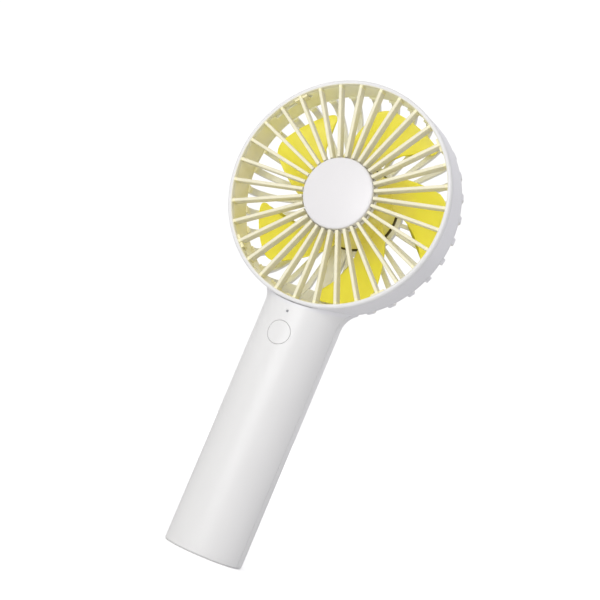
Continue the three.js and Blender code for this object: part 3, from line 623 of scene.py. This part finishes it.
def light_pipe():
    """The tiny window, a little sunk in its hole."""
    return on_surface("lamp_window", [(0.05, 0.12), (0.35, 0.14), (0.5, 0.25), (0.5, 5.2)], LAMP_Z, 32)


def screw(name, x, z):
    """A pan-head screw that faces backwards, with a cross recess."""
    seat = SCREW_SEAT_Y + 0.05
    dome = [(SCREW_HEAD * share, seat + rise) for share, rise in ((0.97, 0.75), (0.8, 1.25), (0.5, 1.46))]
    side = [(SCREW_HEAD - 0.15, seat), (SCREW_HEAD, seat + 0.2)]
    head = pin(name, [*side, *dome, (0.05, seat + 1.5)], x, z, 48)
    shank = pin("shank", [(0.5, -8.5), (0.9, -7.6), (0.9, seat + 0.3)], x, z, 32)
    arms = []
    for turn in (20, 110):
        arm = block("arm", (-1.1, 1.1), (0, 2), (-0.2, 0.2))
        arm.data.transform(Matrix.Translation((x * MM, (seat + 0.7) * MM, z * MM))
                           @ Matrix.Rotation(math.radians(turn), 4, "Y"))
        arms.append(arm)
    return cut(join(head, shank), *arms)


# ---- Finishes ------------------------------------------------------------------------------------

def set_inputs(node, values):
    for key, value in values.items():
        node.inputs[key].default_value = value


class Finish:
    """A material under construction: its Principled shader and short ways to wire detail into it."""

    def __init__(self, name, roughness, metallic=0.0, specular=0.5):
        self.material = bpy.data.materials.new(name)
        self.material.use_nodes = True
        self.nodes, self.links = self.material.node_tree.nodes, self.material.node_tree.links
        self.shader = self.nodes["Principled BSDF"]
        self.shader.inputs["Metallic"].default_value = metallic
        self.shader.inputs["Roughness"].default_value = roughness
        self.shader.inputs["Specular IOR Level"].default_value = specular
        self.place = self.nodes.new("ShaderNodeTexCoord").outputs["Object"]

    def add(self, kind, **settings):
        node = self.nodes.new(kind)
        for key, value in settings.items():
            setattr(node, key, value)
        return node

    def noise(self, size_mm, detail=3.0, stretch=(1, 1, 1)):
        """Noise whose features are about so many millimetres across."""
        mapping = self.add("ShaderNodeMapping")
        mapping.inputs["Scale"].default_value = stretch
        texture = self.add("ShaderNodeTexNoise")
        texture.inputs["Scale"].default_value = 1 / (size_mm * MM)
        texture.inputs["Detail"].default_value = detail
        self.links.new(self.place, mapping.inputs["Vector"])
        self.links.new(mapping.outputs["Vector"], texture.inputs["Vector"])
        return texture.outputs["Fac"]

    def spread(self, source, low, high, from_low=0.3, from_high=0.7):
        """source, mapped from the middle of its range to low..high."""
        node = self.add("ShaderNodeMapRange", clamp=True)
        set_inputs(node, {"From Min": from_low, "From Max": from_high, "To Min": low, "To Max": high})
        self.links.new(source, node.inputs["Value"])
        return node.outputs["Result"]

    def blend(self, factor, first, second):
        """A colour between two, each either a constant or another node's output."""
        node = self.add("ShaderNodeMix", data_type="RGBA")
        self.links.new(factor, node.inputs["Factor"])
        for socket, colour in ((node.inputs[6], first), (node.inputs[7], second)):
            if isinstance(colour, bpy.types.NodeSocket):
                self.links.new(colour, socket)
            else:
                socket.default_value = (*colour, 1)
        return node.outputs[2]

    def distance_from_axis(self):
        """How far a point is from the fan's axis, in metres."""
        flat = self.add("ShaderNodeVectorMath", operation="MULTIPLY_ADD")
        self.links.new(self.place, flat.inputs[0])
        flat.inputs[1].default_value = (1, 0, 1)
        flat.inputs[2].default_value = (0, 0, -HEAD_Z * MM)
        length = self.add("ShaderNodeVectorMath", operation="LENGTH")
        self.links.new(flat.outputs["Vector"], length.inputs[0])
        return length.outputs["Value"]

    def along(self, axis, low_mm, high_mm):
        """0 to 1 between two places along an axis."""
        axes = self.add("ShaderNodeSeparateXYZ")
        self.links.new(self.place, axes.inputs["Vector"])
        return self.spread(axes.outputs[axis], 0, 1, low_mm * MM, high_mm * MM)

    def depth(self, low_mm, high_mm):
        """0 to 1 between two depths behind the front of the head."""
        return self.along("Y", FRONT_Y + low_mm, FRONT_Y + high_mm)

    def within(self, radius_mm, soft_mm=0.3):
        """1 near the fan's axis, falling to 0 past a radius."""
        inner, outer = (radius_mm - soft_mm) * MM, (radius_mm + soft_mm) * MM
        return self.spread(self.distance_from_axis(), 1, 0, inner, outer)

    def facing_into_head(self):
        """1 on surfaces turned towards the middle of the head, 0 on those turned away from it."""
        outwards = self.add("ShaderNodeVectorMath", operation="SUBTRACT")
        self.links.new(self.place, outwards.inputs[0])
        outwards.inputs[1].default_value = (0, (FRONT_Y + 14) * MM, HEAD_Z * MM)
        unit = self.add("ShaderNodeVectorMath", operation="NORMALIZE")
        self.links.new(outwards.outputs["Vector"], unit.inputs[0])
        lean = self.add("ShaderNodeVectorMath", operation="DOT_PRODUCT")
        self.links.new(unit.outputs["Vector"], lean.inputs[0])
        self.links.new(self.add("ShaderNodeNewGeometry").outputs["Normal"], lean.inputs[1])
        return self.spread(lean.outputs["Value"], 1, 0, 0.1, 0.45)

    def colour(self, source):
        self.links.new(source, self.shader.inputs["Base Color"])

    def rough(self, source):
        self.links.new(source, self.shader.inputs["Roughness"])

    def bump(self, layers):
        """Relief from (height source, depth in millimetres) layers."""
        previous = None
        for source, depth_mm in layers:
            node = self.add("ShaderNodeBump")
            node.inputs["Distance"].default_value = depth_mm * MM
            node.inputs["Strength"].default_value = 1.0
            self.links.new(source, node.inputs["Height"])
            if previous:
                self.links.new(previous, node.inputs["Normal"])
            previous = node.outputs["Normal"]
        self.links.new(previous, self.shader.inputs["Normal"])


SHELL_ROUGHNESS = 0.3
SHELL_WHITE = (0.795, 0.79, 0.782)
# painted cool shade: a bluish tint for the outside of the head
HEAD_COOL_SHADE_WHITE = (0.785, 0.78, 0.797)
# painted yellow bounce light from the blades, on surfaces that face into the head
WALL_BOUNCE_OLIVE = (0.93, 0.88, 0.58)
# painted light: the lighter colour of the inner wall's upper part
WALL_LIT_TOP = (1.0, 0.99, 0.78)
# painted cream bounce light on the rear cage's inner faces
CAGE_BOUNCE_CREAM = (0.86, 0.85, 0.80)
RIB_IVORY = (0.845, 0.805, 0.60)
# painted shade on the ribs' sides, towards the back
RIB_SHADE = (0.81, 0.78, 0.67)
# painted shadow in the gap behind the impeller's hub
GAP_SHADE = (0.07, 0.055, 0.02)


def tinted(colour, gain):
    return tuple(min(1.0, c * gain) for c in colour)


def moulded(name, colour, roughness, grain_mm=0.0004, variation=0.02, specular=0.5):
    """Injection-moulded plastic: a fine spark-eroded grain, faint flow mottling and uneven sheen."""
    finish = Finish(name, roughness, specular=specular)
    flow = finish.spread(finish.noise(22, 4, (1, 1, 0.45)), 0, 1)
    finish.colour(finish.blend(flow, tinted(colour, 1 - variation), tinted(colour, 1 + variation)))
    finish.rough(finish.spread(finish.noise(9, 2), roughness - 0.02, roughness + 0.02))
    finish.bump([(finish.noise(14, 1), 0.004), (finish.noise(0.35, 2), grain_mm)])
    return finish


def shell_white(name="shell_white"):
    return moulded(name, SHELL_WHITE, SHELL_ROUGHNESS)


def head_shell(name):
    """The housings' white, with a painted cool shade tint on the head.
    The surfaces that face into it are warmer and darker: painted yellow bounce light from the blades.
    """
    finish = shell_white(name)
    outside = finish.shader.inputs["Base Color"].links[0].from_socket
    cloud = finish.spread(finish.noise(14, 3), 0, 1)
    # painted yellow bounce light on the inner wall, olive, varied by a faint cloud
    low_wall = finish.blend(cloud, tinted(WALL_BOUNCE_OLIVE, 0.96), tinted(WALL_BOUNCE_OLIVE, 1.04))
    # painted light: the inner wall grows lighter towards the top
    front_wall = finish.blend(finish.along("Z", HEAD_Z, HEAD_Z + 30), low_wall, WALL_LIT_TOP)
    wall = finish.blend(finish.depth(18.5, 21), front_wall, outside)
    # painted light and shade on the rear cage: cream bounce outside, a dark painted shadow round the middle
    # behind the impeller's hub
    cage = finish.blend(finish.within(HUB_BACK_RADIUS + 0.75, 0.15), CAGE_BOUNCE_CREAM, GAP_SHADE)
    inside = finish.blend(finish.within(45.2, 0.8), wall, cage)
    # the painted bounce goes only on faces near the head that turn into it
    mask = finish.add("ShaderNodeMath", operation="MULTIPLY")
    finish.links.new(finish.within(48.2), mask.inputs[0])
    finish.links.new(finish.facing_into_head(), mask.inputs[1])
    # painted cool shade: the head's outside is tinted bluish, the handle keeps the plain white
    cool = finish.blend(finish.within(HEAD_RADIUS + 1.4, 0.7), outside, HEAD_COOL_SHADE_WHITE)
    finish.colour(finish.blend(mask.outputs["Value"], cool, inside))
    return finish.material


def rib_cream():
    """The grille: neutral white on the rim; ribs ivory in front, with painted shade darker towards the back.
    """
    finish = moulded("grille_cream", (0.80, 0.795, 0.79), 0.45, specular=0.3)
    outside = finish.shader.inputs["Base Color"].links[0].from_socket
    cloud = finish.spread(finish.noise(6, 3), 0, 1)
    front = finish.blend(cloud, tinted(RIB_IVORY, 0.97), tinted(RIB_IVORY, 1.03))
    # painted shade: the ribs darken towards the back
    rib_shading = finish.blend(finish.depth(0.9, 3), front, RIB_SHADE)
    # painted yellow bounce light on the rim's inner face and the ribs' outer ends
    ribs = finish.blend(finish.within(46.1, 0.15), WALL_BOUNCE_OLIVE, rib_shading)
    finish.colour(finish.blend(finish.within(47.3, 0.4), outside, ribs))
    return finish.material


def blade_yellow():
    finish = Finish("blade_yellow", 0.34, specular=0.5)
    yellow = (0.94, 0.86, 0.09)
    flow = finish.spread(finish.noise(12, 4), 0, 1)
    # painted shade: the blades darken near the hub
    hub_shade = finish.spread(finish.distance_from_axis(), 0, 1, 17 * MM, 30 * MM)
    body = finish.blend(flow, tinted(yellow, 0.96), tinted(yellow, 1.04))
    finish.colour(finish.blend(hub_shade, (0.74, 0.66, 0.19), body))
    finish.rough(finish.spread(finish.noise(2.5, 5), 0.3, 0.4))
    finish.bump([(finish.noise(7, 2), 0.008), (finish.noise(0.4, 3), 0.0008)])
    # painted light: a faint yellow emission makes the blades glow brighter than their lighting
    finish.shader.inputs["Emission Color"].default_value = (1, 0.88, 0.06, 1)
    finish.shader.inputs["Emission Strength"].default_value = 0.10
    finish.shader.inputs["Subsurface Weight"].default_value = 0.15
    finish.shader.inputs["Subsurface Scale"].default_value = 0.002
    finish.shader.inputs["Subsurface Radius"].default_value = (1.0, 0.9, 0.2)
    return finish.material


def metal(name, colour, roughness, stretch=(1, 1, 1), streak_mm=0.4):
    finish = Finish(name, roughness, metallic=1.0)
    streak = finish.noise(streak_mm, 4, stretch)
    finish.colour(finish.blend(finish.spread(streak, 0, 1), tinted(colour, 0.88), tinted(colour, 1.08)))
    finish.rough(finish.spread(finish.noise(1.5, 3), roughness - 0.06, roughness + 0.1))
    finish.bump([(streak, 0.004)])
    return finish.material


def laminated_iron():
    """Stamped sheets stacked along the fan's axis."""
    finish = Finish("laminated_iron", 0.5, metallic=0.9)
    sheets = finish.add("ShaderNodeTexWave", wave_type="BANDS", bands_direction="Y")
    sheets.inputs["Scale"].default_value = 320
    finish.links.new(finish.place, sheets.inputs["Vector"])
    finish.colour(finish.blend(sheets.outputs["Fac"], (0.10, 0.10, 0.11), (0.22, 0.22, 0.23)))
    finish.bump([(sheets.outputs["Fac"], 0.04)])
    return finish.material


def wound_copper():
    """Enamelled wire laid side by side round each tooth."""
    finish = Finish("wound_copper", 0.3, metallic=0.9)
    turns = finish.add("ShaderNodeTexWave", wave_type="RINGS", rings_direction="Y")
    turns.inputs["Scale"].default_value = 500
    centre = finish.add("ShaderNodeMapping")
    centre.inputs["Location"].default_value = (0, 0, -HEAD_Z * MM)
    finish.links.new(finish.place, centre.inputs["Vector"])
    finish.links.new(centre.outputs["Vector"], turns.inputs["Vector"])
    finish.colour(finish.blend(turns.outputs["Fac"], (0.35, 0.12, 0.04), (0.72, 0.34, 0.14)))
    finish.bump([(turns.outputs["Fac"], 0.08)])
    return finish.material


def solder_mask():
    """Green board with faint tracks under the mask."""
    finish = Finish("solder_mask", 0.35)
    tracks = finish.add("ShaderNodeTexBrick", offset=0.5)
    tracks.inputs["Scale"].default_value = 260
    tracks.inputs["Mortar Size"].default_value = 0.03
    finish.links.new(finish.place, tracks.inputs["Vector"])
    finish.colour(finish.blend(tracks.outputs["Fac"], (0.015, 0.11, 0.05), (0.05, 0.22, 0.10)))
    finish.bump([(finish.noise(0.5, 2), 0.01)])
    return finish.material


def foam_black():
    finish = Finish("foam_black", 0.95, specular=0.2)
    cells = finish.add("ShaderNodeTexVoronoi")
    cells.inputs["Scale"].default_value = 1800
    finish.links.new(finish.place, cells.inputs["Vector"])
    finish.colour(finish.blend(cells.outputs["Distance"], (0.02, 0.02, 0.022), (0.07, 0.07, 0.075)))
    finish.bump([(cells.outputs["Distance"], 0.15)])
    return finish.material


# ---- Assembly ------------------------------------------------------------------------------------

SMOOTH_ANGLE = math.radians(32)


def smooth(made):
    made.data.shade_smooth()
    made.data.set_sharp_from_angle(angle=SMOOTH_ANGLE)


def place(made, finish, body, slot, *nodes):
    """Finishes a new piece, sets it on its CAD body and hides the nodes it stands for."""
    made.data.materials.clear()
    made.data.materials.append(finish)
    smooth(made)
    shading = made.modifiers.new("shading", "WEIGHTED_NORMAL")
    shading.keep_sharp = True
    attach(made, body)
    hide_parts(*nodes)
    return made


white = shell_white().material
head_white = head_shell("head_white")
cap_white = moulded("cap_white", (0.785, 0.77, 0.775), 0.3).material
steel = metal("zinc_plated", (0.60, 0.61, 0.63), 0.3)
dark = moulded("black_moulded", (0.03, 0.03, 0.033), 0.5).material
clear = moulded("frosted_guide", (0.30, 0.31, 0.32), 0.25).material

place(front_shell(), head_white, "body", "shell", "front_housing")
place(rear_shell(), head_white, "body", "shell", "rear_housing")
place(base_cap(), white, "body", "shell", "bottom_cap")
place(front_grille(), rib_cream(), "front_cover", "grille", "front_grille")
place(centre_cap(), cap_white, "front_cover", "cap", "centre_cap")
place(impeller(), blade_yellow(), "rotor", "blade", "impeller")
place(power_button(), white, "button", "shell", "power_button")
place(light_pipe(), clear, "body", "clear", "light_pipe")
for number, (x, z) in enumerate(SCREW_PLACES, 1):
    place(screw(f"screw_{number}", x, z), steel, "body", "steel", f"housing_screw_{number}")

red_lead = moulded("red_silicone", (0.45, 0.02, 0.02), 0.5).material
black_lead = moulded("black_silicone", (0.02, 0.02, 0.02), 0.5).material
cell_sleeve = moulded("cell_sleeve", (0.05, 0.16, 0.40), 0.3, grain_mm=0.0003).material
die_cast = metal("die_cast", (0.62, 0.63, 0.65), 0.42, streak_mm=1.2)
CARRIED = {
    "steel": (steel, [
        "rotor_cup", "motor_shaft", "bearing_front", "bearing_rear", "motor_screw_1", "motor_screw_2",
        "motor_screw_3", "board_screw_1", "board_screw_2", "contact_top", "contact_bottom",
        "charging_socket"]),
    "aluminium": (die_cast, ["motor_plate"]),
    "iron": (laminated_iron(), ["stator_core"]),
    "copper": (wound_copper(), [f"coil_{i}" for i in range(1, 7)]),
    "board": (solder_mask(), ["control_board", "charge_board"]),
    "dark_plastic": (dark, [
        "magnet_ring", "tact_switch", "switch_plunger", "control_chip", "battery_cradle"]),
    "lead_red": (red_lead, ["motor_lead_red", "battery_lead_red"]),
    "lead_black": (black_lead, ["motor_lead_black", "battery_lead_black"]),
    "cell_wrap": (cell_sleeve, ["battery_cell"]),
    "foam": (foam_black(), ["foam_pad"]),
    "clear": (clear, ["status_lamp"]),
}
for slot, (finish, names) in CARRIED.items():
    for name in names:
        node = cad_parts[name]
        node.data.materials.clear()
        node.data.materials.append(finish)
        smooth(node)


# ---- Camera, light and floor ---------------------------------------------------------------------

def towards(azimuth, elevation):
    """The direction of a place as seen from the fan: 0, 0 is straight in front, and +90, 0 is along +X."""
    turn, tilt = math.radians(azimuth), math.radians(elevation)
    return Vector((math.sin(turn) * math.cos(tilt), -math.cos(turn) * math.cos(tilt), math.sin(tilt)))


def camera(aim, azimuth, elevation, distance, roll, lens):
    """A camera that looks at a point, turned about its own line of sight."""
    back = towards(azimuth, elevation)
    made = bpy.data.objects.new("camera", bpy.data.cameras.new("camera"))
    made.data.lens = lens
    made.data.clip_end = 20
    spin = Matrix.Rotation(math.radians(roll), 4, "Z")
    facing = (-back).to_track_quat("-Z", "Y").to_matrix().to_4x4()
    made.matrix_world = Matrix.Translation((Vector(aim) + back * distance) * MM) @ facing @ spin
    bpy.context.scene.collection.objects.link(made)
    bpy.context.scene.camera = made


def soft_box(name, aim, azimuth, elevation, distance, width, height, power):
    """A rectangular area light that faces a point."""
    back = towards(azimuth, elevation)
    light = bpy.data.lights.new(name, "AREA")
    light.shape, light.size, light.size_y, light.energy = "RECTANGLE", width, height, power
    made = bpy.data.objects.new(name, light)
    made.matrix_world = (Matrix.Translation(Vector(aim) * MM + back * distance)
                         @ (-back).to_track_quat("-Z", "Y").to_matrix().to_4x4())
    bpy.context.scene.collection.objects.link(made)


def surroundings(lit, lit_colour, shade, shade_colour, azimuth, backdrop):
    """A white room, brighter towards one side and behind the fan. The camera sees it as plain white."""
    world = bpy.data.worlds.new("room")
    world.use_nodes = True
    bpy.context.scene.world = world
    nodes, links = world.node_tree.nodes, world.node_tree.links
    nodes.clear()
    turn = math.radians(azimuth)
    around = nodes.new("ShaderNodeTexCoord")
    lean = nodes.new("ShaderNodeVectorMath")
    lean.operation = "DOT_PRODUCT"
    lean.inputs[1].default_value = (math.sin(turn), -math.cos(turn), 0)
    side = nodes.new("ShaderNodeMapRange")
    side.inputs["From Min"].default_value = -1
    tone = nodes.new("ShaderNodeMix")
    tone.data_type = "RGBA"
    tone.inputs[6].default_value = (*(shade * c for c in shade_colour), 1)
    tone.inputs[7].default_value = (*(lit * c for c in lit_colour), 1)
    axes = nodes.new("ShaderNodeSeparateXYZ")
    behind = nodes.new("ShaderNodeMapRange")
    behind.interpolation_type = "SMOOTHSTEP"
    set_inputs(behind, {"From Min": 0.55, "From Max": 0.9, "To Min": 1, "To Max": 1 + backdrop})
    room, seen = nodes.new("ShaderNodeBackground"), nodes.new("ShaderNodeBackground")
    seen.inputs["Color"].default_value = (1, 1, 1, 1)
    seen.inputs["Strength"].default_value = 1.05
    ray = nodes.new("ShaderNodeLightPath")
    mix = nodes.new("ShaderNodeMixShader")
    out = nodes.new("ShaderNodeOutputWorld")
    links.new(around.outputs["Generated"], lean.inputs[0])
    links.new(lean.outputs["Value"], side.inputs["Value"])
    links.new(side.outputs["Result"], tone.inputs["Factor"])
    links.new(tone.outputs[2], room.inputs["Color"])
    links.new(around.outputs["Generated"], axes.inputs["Vector"])
    links.new(axes.outputs["Y"], behind.inputs["Value"])
    links.new(behind.outputs["Result"], room.inputs["Strength"])
    links.new(ray.outputs["Is Camera Ray"], mix.inputs["Fac"])
    links.new(room.outputs["Background"], mix.inputs[1])
    links.new(seen.outputs["Background"], mix.inputs[2])
    links.new(mix.outputs["Shader"], out.inputs["Surface"])


def floor():
    """A pale round floor. The camera sees it brighten to plain white, and the fan gets its soft bounce."""
    mesh = bpy.data.meshes.new("floor")
    built = bmesh.new()
    bmesh.ops.create_circle(built, cap_ends=True, radius=4, segments=96)
    built.to_mesh(mesh)
    built.free()
    made = bpy.data.objects.new("floor", mesh)
    made.location.z = -0.0002
    bpy.context.scene.collection.objects.link(made)
    finish = Finish("floor_white", 0.9, specular=0.1)
    finish.colour(finish.blend(finish.noise(400, 2), (0.86, 0.86, 0.86), (0.88, 0.88, 0.88)))
    finish.shader.inputs["Emission Color"].default_value = (1, 1, 1, 1)
    span = finish.add("ShaderNodeVectorMath", operation="LENGTH")
    finish.links.new(finish.place, span.inputs[0])
    glow = finish.add("ShaderNodeMath", operation="MULTIPLY")
    finish.links.new(finish.spread(span.outputs["Value"], 0.42, 0.7, 0.15, 1.5), glow.inputs[0])
    finish.links.new(finish.add("ShaderNodeLightPath").outputs["Is Camera Ray"], glow.inputs[1])
    finish.links.new(glow.outputs["Value"], finish.shader.inputs["Emission Strength"])
    mesh.materials.append(finish.material)


AIM = (-0.8, -7.8, 113.4)
camera(AIM, azimuth=22.71, elevation=-3.46, distance=754.6, roll=22.88, lens=108)
surroundings(lit=0.80, lit_colour=(1.005, 1, 0.99), shade=0.52, shade_colour=(0.98, 0.975, 1.035),
             azimuth=-65, backdrop=0.7)
soft_box("key", AIM, azimuth=8, elevation=0, distance=0.9, width=0.6, height=1.0, power=5.7)
floor()
bpy.context.scene.view_settings.view_transform = "Standard"
